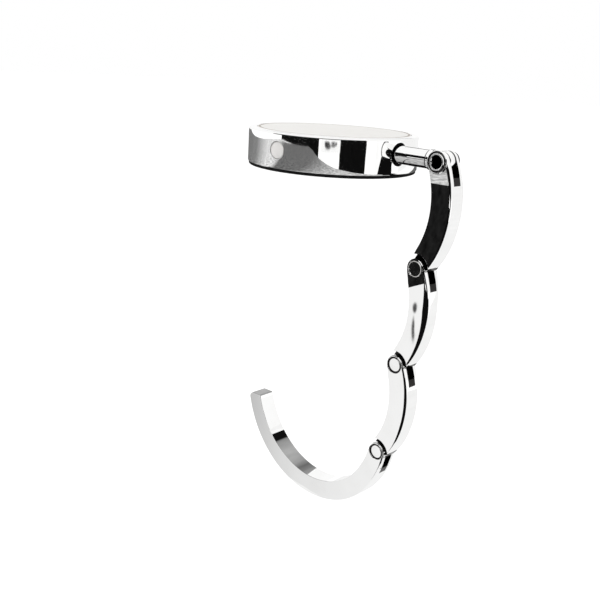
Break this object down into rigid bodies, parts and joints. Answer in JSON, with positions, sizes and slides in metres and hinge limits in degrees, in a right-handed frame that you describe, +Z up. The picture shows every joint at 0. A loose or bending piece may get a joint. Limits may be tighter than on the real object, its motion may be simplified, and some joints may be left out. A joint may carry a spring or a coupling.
{
  "type": "folding purse hook",
  "caption": "Folding table-edge purse hook: weighted disc with rubber foot, sliding neck, hinged curved links and a round hook that close into a ring.",
  "frame": {"origin": "centre of the rubber pad's underside, which rests on the table", "axes": "+Z up through the disc; +X along the neck, away from the disc; the chain hangs in the XZ plane and the hinge pins run along Y"},
  "size_m": [0.0552, 0.037, 0.0879],
  "materials": {
    "chrome": "polished",
    "insert": "satin",
    "base": "satin",
    "pad": "matte",
    "magnet": "satin",
    "spring_steel": "satin"
  },
  "bodies": {
    "disc": {"disc_body": "chrome", "top_insert": "insert", "base_plate": "base", "rubber_pad": "pad", "disc_magnet": "magnet"},
    "neck_slider": {"neck_retaining_ring": "spring_steel"},
    "neck": {"neck": "chrome"},
    "upper_link": {"link_1": "chrome", "hinge_pin_0": "chrome"},
    "middle_link": {"link_2": "chrome", "hinge_pin_1": "chrome"},
    "lower_link": {"link_3": "chrome", "hinge_pin_2": "chrome"},
    "bag_hook": {"hook": "chrome", "hinge_pin_3": "chrome"}
  },
  "joints": [
    {"name": "neck_slide", "type": "slide", "parent": "disc", "child": "neck_slider", "axis": [-1, 0, 0], "range_m": [0, 0.00853]},
    {"name": "neck_swivel", "type": "hinge", "parent": "neck_slider", "child": "neck", "pos_m": [0.0295, 0, 0.00477], "axis": [1, 0, 0], "range_deg": [-90, 90]},
    {"name": "upper_hinge", "type": "hinge", "parent": "neck", "child": "upper_link", "pos_m": [0.0295, 0, 0.00477], "axis": [0, 1, 0], "range_deg": [0, 24.45]},
    {"name": "upper_middle_hinge", "type": "hinge", "parent": "upper_link", "child": "middle_link", "pos_m": [0.02683, 0, -0.01695], "axis": [0, 1, 0], "range_deg": [0, 62.9]},
    {"name": "lower_middle_hinge", "type": "hinge", "parent": "middle_link", "child": "lower_link", "pos_m": [0.02417, 0, -0.03867], "axis": [0, 1, 0], "range_deg": [0, 62.9]},
    {"name": "hook_hinge", "type": "hinge", "parent": "lower_link", "child": "bag_hook", "pos_m": [0.0215, 0, -0.06039], "axis": [0, 1, 0], "range_deg": [0, 28.9]}
  ]
}
